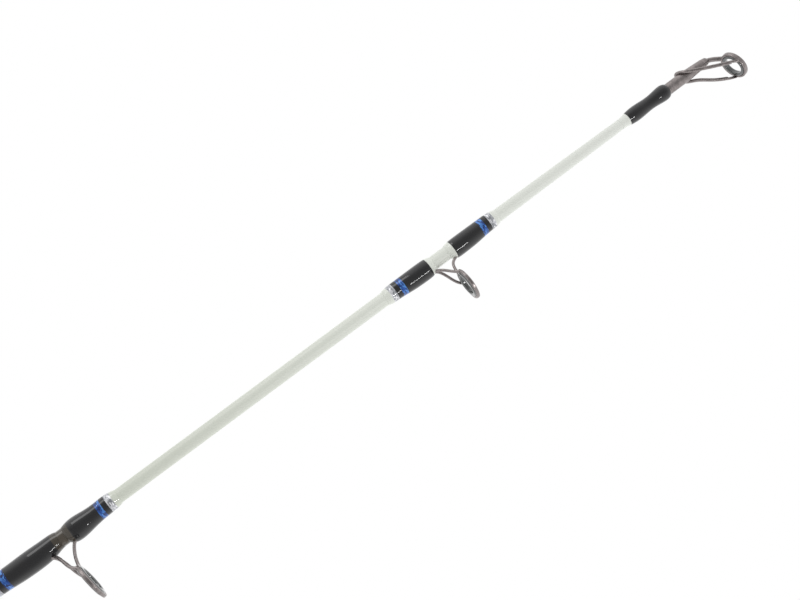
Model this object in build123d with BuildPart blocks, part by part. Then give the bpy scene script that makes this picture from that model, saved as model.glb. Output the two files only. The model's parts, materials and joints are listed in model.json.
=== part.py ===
from build123d import *
import math
import os
from collections import namedtuple

# Two-piece spinning rod, 6 ft 6 in, standing on its butt.
# The origin is the centre of the butt's end face, +Z runs up to the tip,
# and +X is the side that carries the reel and the line guides. Millimetres.

os.makedirs("parts", exist_ok=True)

# ------------------------------------------------------------ driving dimensions

TIP_RING_Z = 1972.6          # centre of the tip-top's ring
SOLID_TIP_START_Z = 1705.0   # where the solid glass tip leaves the hollow blank
SOLID_TIP_END_Z = 1960.0     # end of the solid glass inside the tip-top's tube
TIP_PLUG_LENGTH = 60.0       # length of the solid tip glued inside the hollow blank
TIP_PLUG_R = 1.8
FERRULE_Z = 985.0            # mouth of the tip section
FERRULE_DEPTH = 65.0
FERRULE_PLUG_R = 3.9
FERRULE_CLEARANCE = 0.04
BUTT_WALL = 1.4              # wall of the butt section's tube

# outside radius of the blank along the rod: (z, radius)
SOLID_TIP_OUTLINE = [(SOLID_TIP_START_Z, 2.36), (1760.0, 2.38), (1815.0, 2.42), (1845.0, 2.42), (1873.0, 2.32)]
SOLID_TIP_OUTLINE += [(1903.0, 2.12), (1923.0, 1.98), (1936.0, 1.72), (SOLID_TIP_END_Z, 1.7)]
TIP_SECTION_OUTLINE = [(FERRULE_Z, 5.15), (SOLID_TIP_START_Z, 2.75)]
BUTT_SECTION_OUTLINE = [(6.0, 6.9), (FERRULE_Z - 1.0, 4.55)]

# line guides: ring centre, lean of the ring's far side towards the tip, ring's outside radius, ring
# centre's distance from the rod's axis, wire diameter, ends of the bare stretch between the two feet,
# the two wraps' lengths, and how far the rear wrap's thread runs on, thinning, towards the ring
Guide = namedtuple("Guide", "name ring_z rake ring_r height wire gap_rear gap_front rear_wrap front_wrap rear_run")
GUIDES = [
    Guide("guide_1", TIP_RING_Z - 124.3, 0.0, 5.75, 14.1, 1.0, -6.2, 4.0, 16.2, 17.5, 0.0),
    Guide("guide_2", TIP_RING_Z - 276.5, 7.0, 6.65, 18.2, 1.1, -7.2, 2.9, 19.0, 16.0, 3.8),
    Guide("guide_3", TIP_RING_Z - 442.6, 5.0, 8.8, 24.0, 1.3, -8.6, 3.2, 20.5, 19.0, 0.0),
    Guide("guide_4", TIP_RING_Z - 647.6, 5.0, 11.2, 31.0, 1.5, -12.0, 4.2, 22.5, 21.0, 0.0),
    Guide("guide_5", TIP_RING_Z - 907.6, 5.0, 15.9, 42.0, 1.8, -17.0, 5.6, 25.0, 23.0, 0.0),
]
FRAME_BAND = 0.85            # radial thickness of a guide's frame ring, in wire diameters
FRAME_WIDTH = 1.15           # its width along the rod, in wire diameters
INSERT_BAND = 1.45           # radial thickness of the ceramic insert in a 1 mm wire's guide
INSERT_WIDTH = 1.75          # its width along the rod, in wire diameters
REAR_JOIN_ANGLE = 40.0       # where the rear legs meet the ring, below its widest line

THREAD_THICK = 0.32
EPOXY_THICK = 0.36
TRIM_BLUE = 1.9
TRIM_BLACK = 1.8
TRIM_SILVER = 2.0
EPOXY_RUN_OUT = 2.0          # clear epoxy past the last turn of thread
THIN_END = 0.08              # the epoxy's thickness where it runs out
FOOT_THICK = 0.8             # in wire diameters

TIP_TUBE_R = 2.1
TIP_TUBE_NECK = 1.35         # radius of the tube's pinched end
TIP_TUBE_BOTTOM = -35.6      # along the rod from the tip ring's centre
TIP_TUBE_TOP = -3.6
TIP_STRUT_R = 0.85
TIP_RING_R = 5.2
TIP_RING_H = 7.9
TIP_RING_BAND = 0.85
TIP_INSERT_BAND = 1.1
TIP_WIRE = 1.25
TIP_RAKE = 12.0
TIP_WRAP = (-42.4, -24.4)

CAP_R = 16.6
CAP_TOP_Z = 28.0
CAP_PIN_Z = 20.0             # top of the cap's straight wall
GRIP_TOP_Z = 328.0
TRIM_RING_Z = 334.0
SEAT_TOP_Z = 470.0
SEAT_R = 11.4
SEAT_BORE_R = 9.2
SEAT_FLAT_X = 10.2           # platform on which the reel's foot lies
HOOD_FLAT_X = 9.95           # the flat on either side of it, under the hoods
PLATFORM_Z = (365.0, 404.0)
THREAD_CREST_R = 12.1
THREAD_PITCH = 2.0
HOOD_BORE_R = 12.15
HOOD_TRAVEL = 20.0
FIXED_HOOD_Z = (338.0, 364.0)
SLIDING_HOOD_Z = (426.0, 452.0)
NUT_Z = (452.3, 466.3)
FOREGRIP_Z = (472.0, 600.0)
CHECK_TOP_Z = 606.0
KEEPER_Z = 640.0
KEEPER_FOOT = 13.0           # reach of each of the hook keeper's feet from its middle
KEEPER_RISE = 6.4
KEEPER_WIRE = 1.2


# ------------------------------------------------------------ shared helpers


def radius_at(outline, z):
    """Outside radius of a straight-sided outline at height z."""
    for (z0, r0), (z1, r1) in zip(outline, outline[1:]):
        if z0 <= z <= z1:
            return r0 + (r1 - r0) * (z - z0) / (z1 - z0)
    raise ValueError(f"no outline at z = {z}")


def blank_radius(z):
    if z > SOLID_TIP_START_Z:
        return radius_at(SOLID_TIP_OUTLINE, z)
    if z > FERRULE_Z:
        return radius_at(TIP_SECTION_OUTLINE, z)
    return radius_at(BUTT_SECTION_OUTLINE, z)


def core_between(z0, z1):
    """The blank's filled outside shape between two heights, used as a cutter."""
    outline = sorted(set(SOLID_TIP_OUTLINE + TIP_SECTION_OUTLINE + BUTT_SECTION_OUTLINE))
    inner = [(r, z) for z, r in outline if z0 < z < z1]
    if z0 < SOLID_TIP_START_Z < z1:
        inner = [(TIP_SECTION_OUTLINE[-1][1], SOLID_TIP_START_Z), (SOLID_TIP_OUTLINE[0][1], SOLID_TIP_START_Z)]
    points = [(0, z0), (blank_radius(z0), z0), *inner, (blank_radius(z1), z1), (0, z1)]
    with BuildPart() as core:
        with BuildSketch(Plane.XZ):
            with BuildLine():
                Polyline(*points, close=True)
            make_face()
        revolve(axis=Axis.Z)
    return core.part


def turned(points):
    """A solid of revolution about Z from (radius, z) corners."""
    with BuildPart() as body:
        with BuildSketch(Plane.XZ):
            with BuildLine():
                Polyline(*points, close=True)
            make_face()
        revolve(axis=Axis.Z)
    return body.part


def lofted_sleeve(stations):
    """A smooth body through circles: (z, radius, shift towards +X)."""
    with BuildPart() as sleeve:
        for z, r, shift in stations:
            with BuildSketch(Plane(origin=(shift, 0, z), x_dir=(1, 0, 0), z_dir=(0, 0, 1))):
                Circle(r)
        loft()
    return sleeve.part


def slab(z0, z1, reach=30.0):
    with BuildPart() as block:
        with BuildSketch(Plane.XY.offset(z0)):
            Circle(reach)
        extrude(amount=z1 - z0)
    return block.part


def wire_along(path, wire):
    with BuildPart() as rod:
        with BuildSketch(Plane(origin=path @ 0, z_dir=path % 0)):
            Circle(wire / 2)
        sweep(path=path)
    return rod.part


def save(part, name):
    part.label = name
    export_step(part, f"parts/{name}.step")


def group(solids):
    return Compound(children=list(solids))


# ------------------------------------------------------------ blanks


def make_solid_tip():
    neck_z = SOLID_TIP_START_Z
    points = [(0, neck_z - TIP_PLUG_LENGTH), (TIP_PLUG_R, neck_z - TIP_PLUG_LENGTH), (TIP_PLUG_R, neck_z)]
    points += [(r, z) for z, r in SOLID_TIP_OUTLINE]
    points += [(0, SOLID_TIP_END_Z)]
    return turned(points)


def make_tip_section():
    mouth_z, top_z = FERRULE_Z, SOLID_TIP_START_Z
    socket_r = FERRULE_PLUG_R + FERRULE_CLEARANCE
    with BuildPart() as tube:
        with BuildSketch(Plane.XZ):
            with BuildLine():
                Polyline(
                    (socket_r, mouth_z),
                    (TIP_SECTION_OUTLINE[0][1], mouth_z),
                    (TIP_SECTION_OUTLINE[1][1], top_z),
                    (TIP_PLUG_R, top_z),
                    (TIP_PLUG_R, top_z - TIP_PLUG_LENGTH - 5.0),
                    (3.4, mouth_z + FERRULE_DEPTH + 12.0),
                    (socket_r, mouth_z + FERRULE_DEPTH + 3.0),
                    close=True,
                )
            make_face()
        revolve(axis=Axis.Z)
    return tube.part


def make_butt_section():
    bottom_z, shoulder_z = BUTT_SECTION_OUTLINE[0][0], BUTT_SECTION_OUTLINE[1][0]
    plug_top = FERRULE_Z + FERRULE_DEPTH
    with BuildPart() as tube:
        with BuildSketch(Plane.XZ):
            with BuildLine():
                Polyline(
                    (BUTT_SECTION_OUTLINE[0][1] - BUTT_WALL, bottom_z),
                    (BUTT_SECTION_OUTLINE[0][1], bottom_z),
                    (BUTT_SECTION_OUTLINE[1][1], shoulder_z),
                    (FERRULE_PLUG_R, shoulder_z),
                    (FERRULE_PLUG_R, plug_top - 1.0),
                    (FERRULE_PLUG_R - 0.6, plug_top),
                    (FERRULE_PLUG_R - BUTT_WALL, plug_top),
                    (FERRULE_PLUG_R - BUTT_WALL, shoulder_z - 12.0),
                    close=True,
                )
            make_face()
        revolve(axis=Axis.Z)
    return tube.part


# ------------------------------------------------------------ line guides


def raked_plane(guide_z, height, rake):
    """Plane of a guide's ring: its normal runs along the rod and leans off it by the rake."""
    lean = math.radians(rake)
    return Plane(origin=(height, 0, guide_z), x_dir=(0, 1, 0), z_dir=(-math.sin(lean), 0, math.cos(lean)))


def ring_band(plane, r_in, r_out, width, rounding):
    """A flat band lying in the given plane, with rounded edges."""
    with BuildPart() as band:
        with BuildSketch(plane.offset(-width / 2)):
            Circle(r_out)
            Circle(r_in, mode=Mode.SUBTRACT)
        extrude(amount=width)
        fillet(band.edges().filter_by(GeomType.CIRCLE), rounding)
    return band.part


def disc(plane, radius, width):
    """A disc centred on the given plane."""
    with BuildPart() as plate:
        with BuildSketch(plane.offset(-width / 2)):
            Circle(radius)
        extrude(amount=width)
    return plate.part


def make_foot(guide, end_z, direction, length):
    """A flat ground foot on the blank: end_z is its thick end, and it thins away from there."""
    z_far = end_z + direction * length
    base = min(blank_radius(end_z), blank_radius(z_far)) - 0.4
    width = 1.5 * guide.wire
    top = blank_radius(end_z) + FOOT_THICK * guide.wire
    with BuildPart() as foot:
        with BuildSketch(Plane.XZ):
            with BuildLine():
                Polyline((base, end_z), (top, end_z), (top - 0.2, end_z + direction * length * 0.6),
                         (blank_radius(z_far) + 0.12, z_far), (base, z_far), close=True)
            make_face()
        extrude(amount=width / 2, both=True)
    return foot.part - core_between(min(end_z, z_far) - 1, max(end_z, z_far) + 1)


def make_guide_frame(guide):
    """Wire frame with one front leg to the ring's near side and two rear legs to its flanks."""
    z, wire = guide.ring_z, guide.wire
    lean = math.tan(math.radians(guide.rake))
    ring_mid = guide.ring_r - FRAME_BAND * wire / 2
    near = blank_radius(z) + FOOT_THICK * wire - wire / 2
    top_h = guide.height - ring_mid
    plane = raked_plane(z, guide.height, guide.rake)
    band = ring_band(plane, guide.ring_r - FRAME_BAND * wire, guide.ring_r, FRAME_WIDTH * wire, 0.35 * wire)

    front_z = z + guide.gap_front
    top_z = z - ring_mid * lean
    with BuildLine() as front:
        Spline((near, 0, front_z + 1.0 * wire), (near + 0.5 * wire, 0, front_z - 0.5 * wire),
               (0.72 * near + 0.28 * top_h, 0, z + 0.32 * guide.gap_front),
               (0.35 * near + 0.65 * top_h, 0, 0.7 * top_z + 0.3 * (z + 0.25 * guide.gap_front)),
               (top_h, 0, top_z))
    legs = [wire_along(front.line, wire)]

    rear_z = z + guide.gap_rear
    join_angle = math.radians(REAR_JOIN_ANGLE)
    side_h = guide.height - ring_mid * math.sin(join_angle)
    side_y = ring_mid * math.cos(join_angle)
    side_z = z - ring_mid * math.sin(join_angle) * lean
    for side in (1, -1):
        with BuildLine() as rear:
            Spline((near, side * 0.1 * wire, rear_z - 1.2 * wire),
                   (near + 0.45 * wire, side * 0.3 * wire, rear_z + 0.9 * wire),
                   (0.6 * near + 0.4 * side_h, side * 0.46 * side_y, 0.5 * rear_z + 0.5 * side_z),
                   (side_h, side * side_y, side_z))
        legs.append(wire_along(rear.line, wire))

    ring_opening = disc(plane, guide.ring_r - 0.6 * FRAME_BAND * wire, 5.0 * wire)
    feet = [make_foot(guide, front_z + 0.6 * wire, 1, guide.front_wrap * 0.6),
            make_foot(guide, rear_z - 0.6 * wire, -1, guide.rear_wrap * 0.6)]
    frame = band.fuse(*[leg - ring_opening for leg in legs], *feet)
    core = core_between(z + guide.gap_rear - guide.rear_wrap, z + guide.gap_front + guide.front_wrap)
    return frame - core


def make_ring_insert(plane, r_out, band, width):
    """Ceramic ring with a rounded bore."""
    return ring_band(plane, r_out - band, r_out, width, min(band, width) * 0.42)


def wrap_stations(start, direction, length, swell, cover, run_out, thread_run):
    """Circles for one wrap from its gap end outwards. swell is the foot's height there."""
    def at(along):
        return start + direction * along
    stations = []
    if run_out:
        z = at(-thread_run - run_out)
        stations.append((z, blank_radius(z) + THIN_END, 0.0))
    if thread_run:
        z = at(-thread_run)
        stations.append((z, blank_radius(z) + 0.7 * cover, 0.0))
    for share, high in ((0.0, 1.0), (0.22, 1.0), (0.45, 0.8), (0.72, 0.15), (1.0, 0.0)):
        z = at(share * length)
        thick = cover * (0.8 if share in (0.0, 1.0) else 1.0)
        stations.append((z, blank_radius(z) + thick + 0.42 * swell * high, 0.42 * swell * high))
    if run_out:
        z = at(length + run_out)
        stations.append((z, blank_radius(z) + THIN_END, 0.0))
    return sorted(stations)


def make_wrap(start, direction, length, swell, metal, thread_run):
    """Solids of one wrap: black, blue and silver thread, and the clear epoxy over them."""
    low, high = sorted((start - direction * thread_run, start + direction * length))
    core = core_between(low - EPOXY_RUN_OUT - 1, high + EPOXY_RUN_OUT + 1)
    thread_body = lofted_sleeve(wrap_stations(start, direction, length, swell, THREAD_THICK, 0.0, thread_run))
    epoxy_body = lofted_sleeve(
        wrap_stations(start, direction, length, swell, THREAD_THICK + EPOXY_THICK, EPOXY_RUN_OUT, thread_run))
    thread = thread_body - core - metal
    epoxy = epoxy_body - thread_body - core - metal
    cuts = [-thread_run, length - TRIM_SILVER - TRIM_BLACK - TRIM_BLUE, length - TRIM_SILVER - TRIM_BLACK,
            length - TRIM_SILVER, length]
    bands = []
    for inner, outer in zip(cuts, cuts[1:]):
        z0, z1 = sorted((start + direction * inner, start + direction * outer))
        bands.append(thread & slab(z0, z1))
    return {"black": [bands[0], bands[2]], "blue": [bands[1]], "silver": [bands[3]], "epoxy": [epoxy]}


def biggest_solid(part):
    return sorted(part.solids(), key=lambda solid: solid.volume)[-1]


def make_guide(guide):
    frame = make_guide_frame(guide)
    save(frame, f"{guide.name}_frame")
    plane = raked_plane(guide.ring_z, guide.height, guide.rake)
    insert_r = guide.ring_r - FRAME_BAND * guide.wire
    save(make_ring_insert(plane, insert_r, INSERT_BAND * guide.wire ** 0.5, INSERT_WIDTH * guide.wire),
         f"{guide.name}_ring")
    swell = FOOT_THICK * guide.wire
    front = make_wrap(guide.ring_z + guide.gap_front, 1, guide.front_wrap, swell, frame, 0.0)
    rear = make_wrap(guide.ring_z + guide.gap_rear, -1, guide.rear_wrap, swell, frame, guide.rear_run)
    for colour, node in (("black", "thread"), ("blue", "trim_blue"), ("silver", "trim_silver"), ("epoxy", "epoxy")):
        solids = [biggest_solid(body) for body in front[colour] + rear[colour]]
        save(group(solids), f"{guide.name}_{node}")


# ------------------------------------------------------------ tip-top


def at_tip(along):
    return TIP_RING_Z + along


def make_tip_tube():
    """Tube glued over the end of the solid tip; its top is pinched to a strut that meets the ring."""
    bore_r = TIP_TUBE_R - 0.35
    neck_z = at_tip(TIP_TUBE_TOP)
    with BuildPart() as tube:
        with BuildSketch(Plane.XZ):
            with BuildLine():
                Polyline(
                    (bore_r, at_tip(TIP_TUBE_BOTTOM)),
                    (TIP_TUBE_R, at_tip(TIP_TUBE_BOTTOM)),
                    (TIP_TUBE_R, neck_z - 12.0),
                    (TIP_TUBE_NECK + 0.3, neck_z - 4.0),
                    (TIP_TUBE_NECK, neck_z - 2.2),
                    (TIP_STRUT_R, neck_z - 1.6),
                    (0, neck_z - 1.6),
                    (0, SOLID_TIP_END_Z),
                    (bore_r, SOLID_TIP_END_Z),
                    close=True,
                )
            make_face()
        revolve(axis=Axis.Z)
    with BuildLine() as strut:
        Spline((0, 0, neck_z - 3.4), (0.25, 0, neck_z - 1.6), (1.3, 0, neck_z + 0.3), (3.0, 0, neck_z + 2.4))
    return tube.part + wire_along(strut.line, 2 * TIP_STRUT_R)


def make_tip_frame(tube):
    """Ring band and the brace: one wire saddled over the tube's back, its two legs running to the ring."""
    plane = raked_plane(TIP_RING_Z, TIP_RING_H, TIP_RAKE)
    band = ring_band(plane, TIP_RING_R - TIP_RING_BAND, TIP_RING_R, 1.5, 0.3)
    reach = TIP_TUBE_R + TIP_WIRE * 0.45
    flank = TIP_RING_R - 0.45
    legs = [(TIP_RING_H + 1.9, 0.92 * flank, -0.2), (5.4, 3.8, -7.8), (2.0, 3.0, -12.6), (-0.6, 2.6, -16.2)]
    near_leg = [(x, -y, at_tip(z)) for x, y, z in legs]
    far_leg = [(x, y, at_tip(z)) for x, y, z in reversed(legs)]
    with BuildLine() as brace:
        Spline(*near_leg, (-reach, 0, at_tip(-17.4)), *far_leg)
    ring_opening = disc(plane, TIP_RING_R - 0.6 * TIP_RING_BAND, 6.0)
    return band + (wire_along(brace.line, TIP_WIRE) - ring_opening) - tube


def make_tip_top():
    tube = make_tip_tube()
    save(tube, "tip_top_tube")
    frame = make_tip_frame(tube)
    save(frame, "tip_top_frame")
    plane = raked_plane(TIP_RING_Z, TIP_RING_H, TIP_RAKE)
    save(make_ring_insert(plane, TIP_RING_R - TIP_RING_BAND, TIP_INSERT_BAND, 2.0), "tip_top_ring")

    start, end = TIP_WRAP
    thread_radii = [(start, 2.1), (start + 3.8, 2.5), (start + 8.8, 2.36), (start + 13.8, 2.5), (end, 2.4)]
    epoxy_radii = [(start - 3.3, 1.95), (start, 2.35), (start + 3.8, 2.72), (start + 8.8, 2.44)]
    epoxy_radii += [(start + 13.8, 2.7), (end, 2.54), (end + 0.3, 2.33)]
    thread_body = lofted_sleeve([(at_tip(z), r, 0.0) for z, r in thread_radii])
    epoxy_body = lofted_sleeve([(at_tip(z), r, 0.0) for z, r in epoxy_radii])
    core = core_between(at_tip(start - 6), SOLID_TIP_END_Z)
    tube_fill = slab(at_tip(TIP_TUBE_BOTTOM), at_tip(end + 3), TIP_TUBE_R)
    save(thread_body - core - tube_fill, "tip_top_thread")
    save(epoxy_body - thread_body - core - tube_fill, "tip_top_epoxy")


# ------------------------------------------------------------ ferrule wrap


def make_ferrule_wrap():
    """Thread and epoxy that keep the tip section's mouth from splitting."""
    z0, z1 = FERRULE_Z + 1.0, FERRULE_Z + 27.0
    core = core_between(FERRULE_Z + 0.5, z1 + 5)
    bands = [(z0, z1 - 5.0), (z1 - 5.0, z1 - 2.6), (z1 - 2.6, z1)]
    shell = []
    for cover, extra in ((THREAD_THICK, 0.0), (THREAD_THICK + EPOXY_THICK, EPOXY_RUN_OUT)):
        stations = [(z0, blank_radius(z0) + cover * 0.8, 0.0), (z0 + 6, blank_radius(z0 + 6) + cover, 0.0)]
        stations += [(z1 - 6, blank_radius(z1 - 6) + cover, 0.0), (z1, blank_radius(z1) + cover * 0.8, 0.0)]
        if extra:
            stations.append((z1 + extra, blank_radius(z1 + extra) + 0.1, 0.0))
        shell.append(lofted_sleeve(stations))
    thread = shell[0] - core
    save(thread & slab(*bands[0]), "ferrule_thread")
    save(thread & slab(*bands[1]), "ferrule_trim_blue")
    save(thread & slab(*bands[2]), "ferrule_trim_silver")
    save(shell[1] - shell[0] - core, "ferrule_epoxy")


# ------------------------------------------------------------ handle


def make_butt_cap():
    """Rubber cap over the end of the blank."""
    with BuildPart() as cap:
        with BuildSketch(Plane.XZ):
            with BuildLine():
                Polyline((0, 0), (CAP_R - 1.2, 0), (CAP_R, 1.2), (CAP_R, CAP_PIN_Z))
                Spline((CAP_R, CAP_PIN_Z), (CAP_R - 0.7, CAP_PIN_Z + 4.0), (15.0, CAP_TOP_Z))
                Polyline((15.0, CAP_TOP_Z), (0, CAP_TOP_Z), (0, 0))
            make_face()
        revolve(axis=Axis.Z)
    return cap.part - core_between(BUTT_SECTION_OUTLINE[0][0], CAP_TOP_Z + 2)


def grip_profile(z0, z1, radii):
    """Closed foam grip from radii evenly spaced between its ends."""
    step = (z1 - z0) / (len(radii) - 1)
    points = [(r, z0 + index * step) for index, r in enumerate(radii)]
    with BuildPart() as grip:
        with BuildSketch(Plane.XZ):
            with BuildLine():
                Spline(*points)
                Polyline(points[-1], (0, z1), (0, z0), points[0])
            make_face()
        revolve(axis=Axis.Z)
    return grip.part


def make_rear_grip():
    grip = grip_profile(CAP_TOP_Z, GRIP_TOP_Z, [14.9, 14.0, 13.4, 13.1, 13.2, 13.7, 14.2, 13.6])
    return grip - core_between(CAP_TOP_Z - 2, GRIP_TOP_Z + 2)


def make_foregrip():
    grip = grip_profile(*FOREGRIP_Z, [14.0, 14.6, 14.2, 13.2, 12.2, 11.4, 11.2])
    return grip - core_between(FOREGRIP_Z[0] - 2, FOREGRIP_Z[1] + 2)


def make_collar(z0, z1, r):
    """Turned metal trim ring with a shallow middle groove."""
    middle = (z0 + z1) / 2
    points = [(0, z0), (r - 0.5, z0), (r, z0 + 0.5), (r, middle - 0.8), (r - 0.5, middle - 0.3)]
    points += [(r - 0.5, middle + 0.3), (r, middle + 0.8), (r, z1 - 0.5), (r - 0.5, z1), (0, z1)]
    return turned(points) - core_between(z0 - 2, z1 + 2)


def make_winding_check():
    z0, z1 = FOREGRIP_Z[1], CHECK_TOP_Z
    points = [(0, z0), (10.9, z0), (10.9, z0 + 1.5), (8.6, z1 - 1.0), (7.0, z1), (0, z1)]
    return turned(points) - core_between(z0 - 2, z1 + 2)


def make_reel_seat():
    """Seat body: a tube with a flat for the reel's foot, a screw thread, and a keyway at the back."""
    z0, z1 = TRIM_RING_Z, SEAT_TOP_Z
    thread_z0, thread_z1 = SLIDING_HOOD_Z[0] - HOOD_TRAVEL + 2.0, NUT_Z[1] + 0.7
    with BuildPart() as tube:
        with BuildSketch(Plane.XZ):
            with BuildLine():
                Polyline((SEAT_BORE_R, z0), (13.4, z0), (13.4, z0 + 3.0), (SEAT_R, z0 + 3.6), (SEAT_R, z1),
                         (SEAT_BORE_R, z1), close=True)
            make_face()
        revolve(axis=Axis.Z)
    crest = THREAD_CREST_R - SEAT_R
    with BuildPart() as thread:
        with BuildLine() as helix:
            Helix(pitch=THREAD_PITCH, height=thread_z1 - thread_z0, radius=SEAT_R - 0.1)
        with BuildSketch(Plane(origin=helix.line @ 0, x_dir=(1, 0, 0), z_dir=helix.line % 0)):
            with BuildLine():
                Polyline((-0.1, -0.7), (crest + 0.1, -0.3), (crest + 0.1, 0.3), (-0.1, 0.7), close=True)
            make_face()
        sweep(path=helix.line, is_frenet=True)
    body = tube.part + thread.part.moved(Location((0, 0, thread_z0)))
    with BuildPart() as cuts:
        with BuildSketch(Plane.XY.offset(FIXED_HOOD_Z[0] + 3.0)):
            with BuildLine():
                Polyline((SEAT_FLAT_X, -12), (20, -12), (20, 12), (SEAT_FLAT_X, 12), close=True)
            make_face()
        extrude(amount=thread_z1 + 1.5 - FIXED_HOOD_Z[0] - 3.0)
        for flat_z0, flat_z1 in ((FIXED_HOOD_Z[0] + 3.0, PLATFORM_Z[0]), (PLATFORM_Z[1], thread_z1 + 1.5)):
            with BuildSketch(Plane.XY.offset(flat_z0)):
                with BuildLine():
                    Polyline((HOOD_FLAT_X, -12), (20, -12), (20, 12), (HOOD_FLAT_X, 12), close=True)
                make_face()
            extrude(amount=flat_z1 - flat_z0)
        with BuildSketch(Plane.XY.offset(thread_z0 - 3.0)):
            with BuildLine():
                Polyline((-20, -1.5), (-10.4, -1.5), (-10.4, 1.5), (-20, 1.5), close=True)
            make_face()
        extrude(amount=thread_z1 + 1.5 - thread_z0 + 3.0)
    return body - cuts.part


def hood_section(z0, z1, ring_r, rise):
    """Outside of a hood: a ring with a hump towards +X."""
    with BuildPart() as hood:
        with BuildSketch(Plane.XY.offset(z0)) as section:
            Circle(ring_r)
            with BuildSketch(Plane.XY.offset(z0), mode=Mode.PRIVATE) as hump:
                with Locations((rise / 2 + 4.0, 0)):
                    RectangleRounded(rise + 8.0, 19.0, 5.0)
            add(hump.sketch)
        extrude(amount=z1 - z0)
    return hood.part


def make_hood(z0, z1, bore_r, wall, closed_up):
    """A hood over one end of the reel's foot; its pocket is closed at the top or at the bottom."""
    ring_r = bore_r + wall
    rise = 16.2
    body = hood_section(z0, z1, ring_r, rise - 4.0)
    with BuildPart() as bore:
        with BuildSketch(Plane.XY.offset(z0 - 1)):
            Circle(bore_r)
        extrude(amount=z1 - z0 + 2)
    pocket_z0, pocket_z1 = (z0 - 1, z1 - 5.0) if closed_up else (z0 + 5.0, z1 + 1)
    with BuildPart() as pocket:
        with BuildSketch(Plane.XY.offset(pocket_z0)):
            with BuildLine():
                Polyline((6.0, -8.2), (14.0, -8.2), (15.0, -6.6), (15.0, 6.6), (14.0, 8.2), (6.0, 8.2), close=True)
            make_face()
        extrude(amount=pocket_z1 - pocket_z0)
    shaped = body - bore.part - pocket.part
    nose_z = z1 if closed_up else z0
    slope = -1 if closed_up else 1
    with BuildPart() as bevel:
        with BuildSketch(Plane.XZ):
            with BuildLine():
                Polyline((ring_r + 0.2, nose_z), (20, nose_z + slope * 9.0), (30, nose_z + slope * 9.0),
                         (30, nose_z - slope), (ring_r + 0.2, nose_z - slope), close=True)
            make_face()
        extrude(amount=20, both=True)
    return shaped - bevel.part


def make_fixed_hood():
    seat = slab(FIXED_HOOD_Z[0] - 2, FIXED_HOOD_Z[1] + 2, SEAT_R)
    hood = make_hood(*FIXED_HOOD_Z, SEAT_R, 1.2, False)
    return hood - seat


def make_sliding_hood():
    """Sliding hood with a key that runs in the seat's keyway."""
    z0, z1 = SLIDING_HOOD_Z
    hood = make_hood(z0, z1, HOOD_BORE_R, 1.2, True)
    with BuildPart() as key:
        with BuildSketch(Plane.XY.offset(z1 - 8.0)):
            with BuildLine():
                Polyline((-12.6, -1.3), (-10.7, -1.3), (-10.7, 1.3), (-12.6, 1.3), close=True)
            make_face()
        extrude(amount=7.0)
    return hood + key.part


def make_hood_nut():
    """Knurled nut that turns on the seat's thread and drives the sliding hood."""
    z0, z1 = NUT_Z
    flute_count = 24
    with BuildPart() as nut:
        with BuildSketch(Plane.XY.offset(z0)):
            Circle(14.6)
            Circle(HOOD_BORE_R, mode=Mode.SUBTRACT)
        extrude(amount=z1 - z0)
        chamfer(nut.edges().filter_by(GeomType.CIRCLE).group_by(SortBy.RADIUS)[-1], 0.9)
        with BuildSketch(Plane.XY.offset(z0 + 2.0)):
            with PolarLocations(15.1, flute_count):
                Circle(0.95)
        extrude(amount=z1 - z0 - 4.0, mode=Mode.SUBTRACT)
    return nut.part


def make_seat_arbors():
    rings = []
    for z0 in (TRIM_RING_Z + 4.0, 392.0, SEAT_TOP_Z - 24.0):
        rings.append(slab(z0, z0 + 20.0, SEAT_BORE_R) - core_between(z0 - 2, z0 + 22.0))
    return group([ring.solids()[0] for ring in rings])


def make_hook_keeper():
    """Small wire bail whose two straight feet lie along the blank."""
    near = blank_radius(KEEPER_Z - KEEPER_FOOT) + 0.5 * KEEPER_WIRE
    top = near + KEEPER_RISE
    with BuildLine() as bail:
        FilletPolyline((near, 0, KEEPER_Z - KEEPER_FOOT), (near, 0, KEEPER_Z - 5.5), (top, 0, KEEPER_Z - 4.0),
                       (top, 0, KEEPER_Z + 4.0), (near, 0, KEEPER_Z + 5.5), (near, 0, KEEPER_Z + KEEPER_FOOT),
                       radius=1.6)
    return wire_along(bail.line, KEEPER_WIRE) - core_between(KEEPER_Z - 16, KEEPER_Z + 16)


def make_handle_wraps(keeper):
    """Decorative wraps ahead of the foregrip, which also hold the hook keeper's feet."""
    spans = [(CHECK_TOP_Z + 0.5, KEEPER_Z - 6.5), (KEEPER_Z + 6.5, KEEPER_Z + 26.0)]
    pieces = {"thread": [], "trim_blue": [], "trim_silver": [], "epoxy": []}
    for index, (z0, z1) in enumerate(spans):
        core = core_between(z0 - 0.4, z1 + EPOXY_RUN_OUT + 1)
        bodies = []
        for cover in (THREAD_THICK, THREAD_THICK + EPOXY_THICK):
            swell = 0.5
            inner, outer = (z1, z0) if index == 0 else (z0, z1)
            direction = 1 if index else -1
            stations = [(inner, blank_radius(inner) + cover * 0.8 + swell, swell)]
            stations += [(inner + direction * 7, blank_radius(inner) + cover + swell, swell)]
            stations += [(inner + direction * 13, blank_radius(inner) + cover, 0.05)]
            stations += [(outer, blank_radius(outer) + cover * 0.8, 0.0)]
            bodies.append(lofted_sleeve(sorted(stations)))
        thread = bodies[0] - core - keeper
        direction = 1 if index else -1
        outer = z1 if index else z0
        cuts = [0.0, TRIM_SILVER, TRIM_SILVER + TRIM_BLACK, TRIM_SILVER + TRIM_BLACK + TRIM_BLUE, z1 - z0]
        for node, low, high in zip(("trim_silver", "thread", "trim_blue", "thread"), cuts, cuts[1:]):
            a, b = sorted((outer - direction * low, outer - direction * high))
            pieces[node].append(thread & slab(a, b))
        pieces["epoxy"].append(bodies[1] - bodies[0] - core - keeper)
    for node, bodies in pieces.items():
        save(group(biggest_solid(body) for body in bodies), f"handle_{node}")


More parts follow.
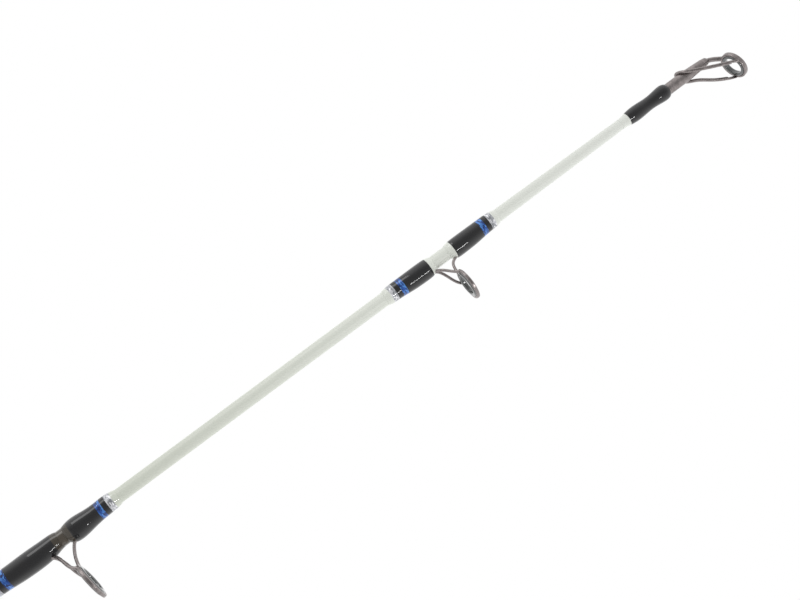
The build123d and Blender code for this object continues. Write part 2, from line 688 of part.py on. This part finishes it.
# ------------------------------------------------------------ the whole rod

save(make_solid_tip(), "solid_tip")
save(make_tip_section(), "tip_section_blank")
save(make_butt_section(), "butt_section_blank")
make_tip_top()
for rod_guide in GUIDES:
    make_guide(rod_guide)
make_ferrule_wrap()
save(make_butt_cap(), "butt_cap")
save(make_rear_grip(), "rear_grip")
save(make_collar(GRIP_TOP_Z, TRIM_RING_Z, 14.0), "rear_trim_ring")
save(make_reel_seat(), "reel_seat_body")
save(make_seat_arbors(), "seat_arbors")
save(make_fixed_hood(), "fixed_hood")
save(make_sliding_hood(), "sliding_hood")
save(make_hood_nut(), "hood_nut")
save(make_foregrip(), "foregrip")
save(make_winding_check(), "winding_check")
hook_keeper = make_hook_keeper()
save(hook_keeper, "hook_keeper")
make_handle_wraps(hook_keeper)
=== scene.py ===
import bpy
import json
import math
from mathutils import Matrix, Vector


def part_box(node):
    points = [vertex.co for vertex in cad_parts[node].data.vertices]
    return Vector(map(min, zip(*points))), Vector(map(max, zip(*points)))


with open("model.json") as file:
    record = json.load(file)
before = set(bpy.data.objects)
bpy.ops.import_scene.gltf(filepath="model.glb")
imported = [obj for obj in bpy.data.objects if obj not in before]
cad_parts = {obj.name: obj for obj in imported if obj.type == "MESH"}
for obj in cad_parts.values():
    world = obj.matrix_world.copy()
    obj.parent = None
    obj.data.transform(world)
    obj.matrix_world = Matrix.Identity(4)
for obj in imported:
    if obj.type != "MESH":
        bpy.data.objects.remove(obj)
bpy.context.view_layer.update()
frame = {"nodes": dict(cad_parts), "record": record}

# Spinning rod, standing on its butt: +Z from butt to tip, +X towards reel and guides. Metres.
MM = 0.001

# ------------------------------------------------------------ where things are


def middle(node):
    low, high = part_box(node)
    return (Vector(low) + Vector(high)) / 2


TIP_RING_Z = middle("tip_top_ring").z

# camera
FOCUS_BELOW_TIP_RING = 144.8 * MM
CAMERA_AZIMUTH = 28.0
CAMERA_ELEVATION = -10.0
CAMERA_DISTANCE = 417 * MM
ROD_ANGLE_IN_VIEW = 36.6
AIM_TO_GUIDE_SIDE = 3.3 * MM
LENS_MM = 56.25
SENSOR_MM = 36.0


# ------------------------------------------------------------ node helpers


class Shader:
    """A material's node tree with short calls for the nodes used here."""

    def __init__(self, name):
        self.material = bpy.data.materials.new(name)
        self.material.use_nodes = True
        self.tree = self.material.node_tree
        self.tree.nodes.clear()
        self.out = self.tree.nodes.new("ShaderNodeOutputMaterial")

    def node(self, kind, **settings):
        made = self.tree.nodes.new(kind)
        for key, value in settings.items():
            setattr(made, key, value)
        return made

    def link(self, source, target):
        self.tree.links.new(source, target)

    def principled(self, **values):
        made = self.node("ShaderNodeBsdfPrincipled")
        for key, value in values.items():
            made.inputs[key.replace("_", " ")].default_value = value
        self.link(made.outputs["BSDF"], self.out.inputs["Surface"])
        return made

    def place(self):
        return self.node("ShaderNodeTexCoord").outputs["Object"]

    def stretched(self, scale):
        mapping = self.node("ShaderNodeMapping")
        mapping.inputs["Scale"].default_value = scale
        self.link(self.place(), mapping.inputs["Vector"])
        return mapping.outputs["Vector"]

    def noise(self, vector, scale, detail=3.0, roughness=0.5):
        made = self.node("ShaderNodeTexNoise")
        made.inputs["Scale"].default_value = scale
        made.inputs["Detail"].default_value = detail
        made.inputs["Roughness"].default_value = roughness
        self.link(vector, made.inputs["Vector"])
        return made.outputs["Fac"]

    def voronoi(self, vector, scale, output="Color"):
        made = self.node("ShaderNodeTexVoronoi")
        made.inputs["Scale"].default_value = scale
        self.link(vector, made.inputs["Vector"])
        return made.outputs[output]

    def height(self):
        split = self.node("ShaderNodeSeparateXYZ")
        self.link(self.place(), split.inputs[0])
        return split.outputs["Z"]

    def maths(self, operation, first, second=None):
        made = self.node("ShaderNodeMath", operation=operation)
        for socket, value in zip(made.inputs, (first, second)):
            if value is None:
                continue
            if isinstance(value, (int, float)):
                socket.default_value = value
            else:
                self.link(value, socket)
        return made.outputs[0]

    def spread(self, value, low, high, to_low, to_high):
        made = self.node("ShaderNodeMapRange")
        ends = {"From Min": low, "From Max": high, "To Min": to_low, "To Max": to_high}
        for name, number in ends.items():
            made.inputs[name].default_value = number
        self.link(value, made.inputs["Value"])
        return made.outputs["Result"]

    def ramp(self, value, stops):
        made = self.node("ShaderNodeValToRGB")
        points = made.color_ramp.elements
        while len(points) < len(stops):
            points.new(0.5)
        for point, (where, colour) in zip(points, stops):
            point.position = where
            point.color = (*colour, 1.0)
        self.link(value, made.inputs["Fac"])
        return made.outputs["Color"]

    def bump(self, height, distance, strength):
        made = self.node("ShaderNodeBump")
        made.inputs["Distance"].default_value = distance
        made.inputs["Strength"].default_value = strength
        self.link(height, made.inputs["Height"])
        return made.outputs["Normal"]


# ------------------------------------------------------------ materials


# colours are linear; a list gives a ramp's stops
PALE_GLASS = [(0.0, (0.60, 0.63, 0.545)), (0.55, (0.73, 0.755, 0.69)), (1.0, (0.77, 0.79, 0.745))]
DARK_GLASS = (0.045, 0.036, 0.024)
SMOKY_GLASS = [(0.25, (0.030, 0.023, 0.014)), (0.6, (0.062, 0.048, 0.032)), (0.8, (0.10, 0.082, 0.055))]
BLACK_YARN = (0.006, 0.006, 0.007)
# foil ramps run from dark to bright flakes over the foil's own colour; the bright end is painted glints
BLUE_FOIL_AND_GLINTS = [(0.1, (0.003, 0.018, 0.11)), (0.55, (0.015, 0.085, 0.36)), (0.95, (0.10, 0.30, 0.72))]
SILVER_FOIL_AND_GLINTS = [(0.1, (0.24, 0.25, 0.27)), (0.55, (0.50, 0.51, 0.54)), (0.95, (0.86, 0.86, 0.88))]
CERAMIC = [(0.3, (0.022, 0.027, 0.026)), (0.7, (0.050, 0.056, 0.055))]
FOAM = [(0.3, (0.012, 0.012, 0.013)), (1.0, (0.042, 0.042, 0.045))]
RUBBER = [(0.3, (0.010, 0.010, 0.010)), (0.7, (0.026, 0.026, 0.026))]
GRAPHITE = [(0.3, (0.014, 0.014, 0.016)), (0.7, (0.028, 0.028, 0.031))]
SHIMS = [(0.3, (0.45, 0.41, 0.30)), (0.7, (0.62, 0.58, 0.46))]
FLOOR = [(0.3, (0.86, 0.86, 0.86)), (0.7, (0.90, 0.90, 0.90))]

# how often a pattern repeats in a metre, across and along the rod
PALE_FIBRES = (3500.0, 3500.0, 45.0)
DARK_FIBRES = (2600.0, 2600.0, 35.0)
FOIL_FLAKES = (1100.0, 1100.0, 2400.0)
EPOXY_WAVES = (160.0, 160.0, 90.0)
PLATED = (700.0, 700.0, 700.0)
TURNED = (120.0, 120.0, 3000.0)
BRUSHED = (250.0, 250.0, 2500.0)

PALE_FROM = 280 * MM        # below the tip-top's ring, where the solid tip is darkest
PALE_TO = 50 * MM           # and where it is palest
THREAD_PITCH = 0.25 * MM
THREAD_BUMP = 0.01 * MM
SAME_RUN = 0.05 * MM        # gap up to which faces of a thread count as one run
BAND_OVERLAP = 0.02 * MM    # each band's colour passes the thread's end by this much
SOLID_TIP_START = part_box("tip_section_blank")[1][2]


def pale_glass(s):
    """Colour of the solid tip: fine lengthwise fibres, paler towards the tip."""
    fibres = s.noise(s.stretched(PALE_FIBRES), 1.0, 3.0, 0.5)
    along = s.spread(s.height(), TIP_RING_Z - PALE_FROM, TIP_RING_Z - PALE_TO, 0.0, 0.9)
    return s.ramp(s.maths("ADD", along, s.spread(fibres, 0.3, 0.7, 0.0, 0.05)), PALE_GLASS)


def solid_glass():
    """Pale solid fibreglass under a satin polish."""
    s = Shader("solid_glass")
    bsdf = s.principled(Roughness=0.38, IOR=1.5)
    s.link(pale_glass(s), bsdf.inputs["Base Color"])
    return s.material


def smoky_glass():
    """Dark brown hollow blank under a clear coat, with faint lengthwise fibres."""
    s = Shader("smoky_glass")
    bsdf = s.principled(Roughness=0.3, Coat_Weight=0.8, Coat_Roughness=0.08)
    fibres = s.noise(s.stretched(DARK_FIBRES), 1.0, 5.0, 0.65)
    s.link(s.ramp(fibres, SMOKY_GLASS), bsdf.inputs["Base Color"])
    s.link(s.bump(fibres, 0.00003, 0.35), bsdf.inputs["Normal"])
    return s.material


def windings(s):
    """Height of close turns of thread lying side by side up the rod."""
    turns = s.maths("MULTIPLY", s.height(), 2 * math.pi / THREAD_PITCH)
    wobble = s.maths("MULTIPLY", s.noise(s.stretched((500.0, 500.0, 500.0)), 1.0, 1.0), 1.2)
    return s.maths("SINE", s.maths("ADD", turns, wobble))


def black_thread():
    """Plain thread: slightly lighter along the crest of each turn, a painted highlight."""
    s = Shader("black_thread")
    bsdf = s.principled(Roughness=0.5)
    ridge = windings(s)
    # painted highlight: the thread's colour doubles along the crest of each turn
    light = tuple(2.0 * channel for channel in BLACK_YARN)
    colour = s.ramp(s.spread(ridge, -1.0, 1.0, 0.0, 1.0), [(0.0, BLACK_YARN), (1.0, light)])
    s.link(colour, bsdf.inputs["Base Color"])
    s.link(s.bump(ridge, THREAD_BUMP, 0.3), bsdf.inputs["Normal"])
    return s.material


def flake_glints(s):
    """Painted glints on foil thread: uneven brightness, flake by flake."""
    cells = s.voronoi(s.stretched(FOIL_FLAKES), 1.0)
    grey = s.node("ShaderNodeSeparateColor")
    s.link(cells, grey.inputs[0])
    return grey.outputs["Red"]


def metallic_thread(name, stops):
    """Foil thread: painted flat glints of uneven brightness between the turns."""
    s = Shader(name)
    bsdf = s.principled(Metallic=0.6, Roughness=0.38)
    glints = flake_glints(s)
    s.link(s.ramp(glints, stops), bsdf.inputs["Base Color"])
    height = s.maths("ADD", windings(s), s.maths("MULTIPLY", glints, 2.0))
    s.link(s.bump(height, 2 * THREAD_BUMP, 0.5), bsdf.inputs["Normal"])
    return s.material


def band_mask(s, low, high):
    """One between two heights, nought elsewhere."""
    above = s.maths("GREATER_THAN", s.height(), low)
    below = s.maths("LESS_THAN", s.height(), high)
    return s.maths("MULTIPLY", above, below)


def mixed(s, factor, under, over):
    """The colour under at factor 0 and over at factor 1; each is a colour or a node's output."""
    made = s.node("ShaderNodeMix", data_type="RGBA")
    s.link(factor, made.inputs[0])
    for socket, colour in zip((made.inputs[6], made.inputs[7]), (under, over)):
        if isinstance(colour, tuple):
            socket.default_value = (*colour, 1.0)
        else:
            s.link(colour, socket)
    return made.outputs[2]


def wrap_runs(node):
    """Heights covered by each separate run of a thread node."""
    mesh = frame["nodes"][node].data
    spans = []
    for face in mesh.polygons:
        heights = [mesh.vertices[corner].co.z for corner in face.vertices]
        spans.append((min(heights), max(heights)))
    runs = []
    for low, high in sorted(spans):
        if runs and low <= runs[-1][1] + SAME_RUN:
            runs[-1][1] = max(runs[-1][1], high)
        else:
            runs.append([low, high])
    return runs


def finished_wrap(family):
    """Finish over one wrap: the epoxy magnifies the thread, so each band's colour fills its own stretch."""
    s = Shader(f"{family}_finish")
    bsdf = s.principled(Roughness=0.5, Specular_IOR_Level=0.15, Coat_Weight=1.0, Coat_Roughness=0.02,
                        Coat_IOR=1.5)
    glints = flake_glints(s)
    colour = mixed(s, s.maths("GREATER_THAN", s.height(), SOLID_TIP_START), DARK_GLASS, pale_glass(s))
    foil = None
    for suffix, look in (("thread", BLACK_YARN), ("trim_blue", BLUE_FOIL_AND_GLINTS), ("trim_silver", SILVER_FOIL_AND_GLINTS)):
        node = f"{family}_{suffix}"
        if node not in frame["nodes"]:
            continue
        # foil bands take their colour from the painted flake glints
        look = look if isinstance(look, tuple) else s.ramp(glints, look)
        for low, high in wrap_runs(node):
            if family == "tip_top":
                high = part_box("tip_top_epoxy")[1][2]
            here = band_mask(s, low - BAND_OVERLAP, high + BAND_OVERLAP)
            colour = mixed(s, here, colour, look)
            if suffix != "thread":
                foil = here if foil is None else s.maths("ADD", foil, here)
    s.link(colour, bsdf.inputs["Base Color"])
    if foil is not None:
        s.link(s.maths("MULTIPLY", foil, 0.55), bsdf.inputs["Metallic"])
    s.link(s.bump(windings(s), THREAD_BUMP, 0.3), bsdf.inputs["Normal"])
    waves = s.noise(s.stretched(EPOXY_WAVES), 1.0, 1.5, 0.4)
    s.link(s.bump(waves, 0.0004, 0.3), bsdf.inputs["Coat Normal"])
    return s.material


def metal(name, dark, light, roughness, grain):
    """Plated or brushed metal with soft blotches in colour and gloss."""
    s = Shader(name)
    bsdf = s.principled(Metallic=1.0)
    blotch = s.noise(s.stretched(grain), 1.0, 4.0, 0.6)
    s.link(s.ramp(blotch, [(0.3, dark), (0.7, light)]), bsdf.inputs["Base Color"])
    s.link(s.spread(blotch, 0.3, 0.7, roughness * 0.8, roughness * 1.3), bsdf.inputs["Roughness"])
    s.link(s.bump(blotch, 0.00002, 0.3), bsdf.inputs["Normal"])
    return s.material


def ceramic():
    """Polished dark ceramic with faint clouding."""
    s = Shader("ceramic")
    bsdf = s.principled(Roughness=0.16, IOR=1.9, Coat_Weight=0.6, Coat_Roughness=0.05)
    cloud = s.noise(s.stretched((900.0, 900.0, 900.0)), 1.0, 3.0)
    s.link(s.ramp(cloud, CERAMIC), bsdf.inputs["Base Color"])
    return s.material


def foam():
    """Closed-cell foam grip: matt, with fine open pores whose pits carry painted shade, and soft random
    variation in tone.
    """
    s = Shader("foam")
    bsdf = s.principled(Roughness=0.82, Sheen_Weight=0.25, Sheen_Roughness=0.5)
    pores = s.voronoi(s.stretched((1400.0, 1400.0, 1400.0)), 1.0, "Distance")
    cloud = s.noise(s.stretched((60.0, 60.0, 60.0)), 1.0, 4.0)
    # pores: painted shade, darkest at each pore's pit; cloud: the foam's own random tone
    shade = s.maths("MULTIPLY", s.spread(pores, 0.1, 0.6, 0.55, 1.0), s.spread(cloud, 0.3, 0.7, 0.75, 1.1))
    s.link(s.ramp(shade, FOAM), bsdf.inputs["Base Color"])
    s.link(s.bump(pores, 0.00025, 0.55), bsdf.inputs["Normal"])
    return s.material


def rubber():
    """Matt moulded rubber with a fine grain."""
    s = Shader("rubber")
    bsdf = s.principled(Roughness=0.7)
    grain = s.noise(s.stretched((1200.0, 1200.0, 1200.0)), 1.0, 4.0, 0.7)
    s.link(s.ramp(grain, RUBBER), bsdf.inputs["Base Color"])
    s.link(s.bump(grain, 0.00012, 0.5), bsdf.inputs["Normal"])
    return s.material


def moulded_plastic(name, roughness):
    """Graphite-filled nylon: a soft gloss broken by fine mould texture."""
    s = Shader(name)
    bsdf = s.principled(Coat_Weight=0.25, Coat_Roughness=0.3)
    grain = s.noise(s.stretched((2200.0, 2200.0, 2200.0)), 1.0, 3.0)
    cloud = s.noise(s.stretched((120.0, 120.0, 60.0)), 1.0, 3.0)
    s.link(s.ramp(cloud, GRAPHITE), bsdf.inputs["Base Color"])
    s.link(s.spread(grain, 0.3, 0.7, roughness * 0.8, roughness * 1.25), bsdf.inputs["Roughness"])
    s.link(s.bump(grain, 0.00004, 0.4), bsdf.inputs["Normal"])
    return s.material


def shim_foam():
    """Pale rigid foam between the blank and the reel seat."""
    s = Shader("shim_foam")
    bsdf = s.principled(Roughness=0.9)
    grain = s.noise(s.stretched((1500.0, 1500.0, 1500.0)), 1.0, 4.0)
    s.link(s.ramp(grain, SHIMS), bsdf.inputs["Base Color"])
    return s.material


FINISHES = {node: finished_wrap(node.removesuffix("_epoxy")) for node in frame["nodes"]
            if node.endswith("_epoxy")}

MATERIALS = {
    "white_glass_tip": solid_glass(),
    "brown_glass_blank": smoky_glass(),
    "black_thread": black_thread(),
    "blue_metallic_thread": metallic_thread("blue_foil", BLUE_FOIL_AND_GLINTS),
    "silver_metallic_thread": metallic_thread("silver_foil", SILVER_FOIL_AND_GLINTS),
    "gunmetal_wire": metal("gunmetal", (0.20, 0.18, 0.175), (0.34, 0.305, 0.30), 0.28, PLATED),
    "dark_ceramic": ceramic(),
    "anodised_aluminium": metal("anodised", (0.16, 0.16, 0.17), (0.26, 0.26, 0.28), 0.3, TURNED),
    "black_foam_grip": foam(),
    "black_rubber": rubber(),
    "black_graphite_seat": moulded_plastic("graphite_seat", 0.32),
    "black_moulded_nut": moulded_plastic("graphite_nut", 0.5),
    "stainless_hood": metal("stainless", (0.34, 0.34, 0.345), (0.52, 0.52, 0.53), 0.28, BRUSHED),
    "arbor_foam": shim_foam(),
}

SLOT_OF = {row["node"]: row["material_slot"] for row in frame["record"]["subparts"]}


def dress_cad_nodes():
    """Each piece takes its slot's material, and each epoxy piece the finish made for its wrap."""
    for name, node in frame["nodes"].items():
        material = FINISHES.get(name) or MATERIALS[SLOT_OF[name]]
        if not node.material_slots:
            node.data.materials.append(material)
        for slot in node.material_slots:
            slot.material = material


dress_cad_nodes()

# ------------------------------------------------------------ camera, light and floor


def aim_camera():
    """Camera beside the tip, rolled so that the rod climbs to the right with its guides below it."""
    azimuth, elevation = math.radians(CAMERA_AZIMUTH), math.radians(CAMERA_ELEVATION)
    back = Vector((math.sin(azimuth) * math.cos(elevation), -math.cos(azimuth) * math.cos(elevation),
                   math.sin(elevation)))
    along = (Vector((0, 0, 1)) - back * back.z).normalized()
    across = back.cross(along)
    guide_side = across if across.x > 0 else -across
    roll = math.radians(ROD_ANGLE_IN_VIEW)
    right = along * math.cos(roll) + guide_side * math.sin(roll)
    up = along * math.sin(roll) - guide_side * math.cos(roll)
    focus = Vector((0, 0, TIP_RING_Z - FOCUS_BELOW_TIP_RING)) + guide_side * AIM_TO_GUIDE_SIDE
    data = bpy.data.cameras.new("camera")
    data.lens = LENS_MM
    data.sensor_width = SENSOR_MM
    data.clip_start = 0.01
    camera = bpy.data.objects.new("camera", data)
    camera.matrix_world = Matrix((
        (right.x, up.x, back.x, 0), (right.y, up.y, back.y, 0), (right.z, up.z, back.z, 0), (0, 0, 0, 1)))
    camera.location = focus + back * CAMERA_DISTANCE
    bpy.context.collection.objects.link(camera)
    bpy.context.scene.camera = camera
    return back, guide_side, focus


VIEW_BACK, GUIDE_SIDE, FOCUS = aim_camera()


FLOOR_RADIUS = 3.0
FLOOR_DROP = 0.5 * MM       # keeps the floor just clear of the butt's end face


def make_floor():
    bpy.ops.mesh.primitive_circle_add(vertices=96, radius=FLOOR_RADIUS, fill_type="NGON",
                                      location=(0, 0, -FLOOR_DROP))
    floor = bpy.context.object
    floor.name = "floor"
    s = Shader("floor")
    bsdf = s.principled(Roughness=0.9)
    cloud = s.noise(s.stretched((6.0, 6.0, 6.0)), 1.0, 3.0)
    s.link(s.ramp(cloud, FLOOR), bsdf.inputs["Base Color"])
    floor.data.materials.append(s.material)


def light_panel(name, direction, distance, size, watts):
    """A rectangular light at this distance from the focus, facing it."""
    data = bpy.data.lights.new(name, "AREA")
    data.shape = "RECTANGLE"
    data.size, data.size_y = size
    data.energy = watts
    light = bpy.data.objects.new(name, data)
    light.location = FOCUS + direction.normalized() * distance
    light.rotation_euler = (-direction).to_track_quat("-Z", "Y").to_euler()
    bpy.context.collection.objects.link(light)


# strength of the tent against the cosine of the angle from the camera's direction
TENT_FALL = {"From Min": 0.1, "From Max": 0.95, "To Min": 1.12, "To Max": 0.45}


def light_tent():
    """White tent all round, dimmer on the camera's side."""
    world = bpy.data.worlds.new("tent")
    world.use_nodes = True
    tree = world.node_tree
    tree.nodes.clear()
    out = tree.nodes.new("ShaderNodeOutputWorld")
    background = tree.nodes.new("ShaderNodeBackground")
    coords = tree.nodes.new("ShaderNodeTexCoord")
    dot = tree.nodes.new("ShaderNodeVectorMath")
    dot.operation = "DOT_PRODUCT"
    dot.inputs[1].default_value = VIEW_BACK
    fall = tree.nodes.new("ShaderNodeMapRange")
    fall.interpolation_type = "SMOOTHSTEP"
    for name, number in TENT_FALL.items():
        fall.inputs[name].default_value = number
    path = tree.nodes.new("ShaderNodeLightPath")
    seen = tree.nodes.new("ShaderNodeMix")
    seen.inputs["B"].default_value = 1.0
    tree.links.new(coords.outputs["Generated"], dot.inputs[0])
    tree.links.new(dot.outputs["Value"], fall.inputs["Value"])
    tree.links.new(path.outputs["Is Camera Ray"], seen.inputs["Factor"])
    tree.links.new(fall.outputs["Result"], seen.inputs["A"])
    tree.links.new(seen.outputs["Result"], background.inputs["Strength"])
    background.inputs["Color"].default_value = (1.0, 1.0, 1.0, 1.0)
    tree.links.new(background.outputs[0], out.inputs["Surface"])
    bpy.context.scene.world = world


make_floor()
light_tent()
light_panel("key", VIEW_BACK * 0.8 + GUIDE_SIDE * 0.55 + Vector((0, 0, 0.32)), 0.9, (0.03, 0.26), 1.2)
light_panel("fill", VIEW_BACK * 0.4 - GUIDE_SIDE, 1.2, (0.5, 0.5), 1.8)
bpy.context.scene.view_settings.view_transform = "Standard"
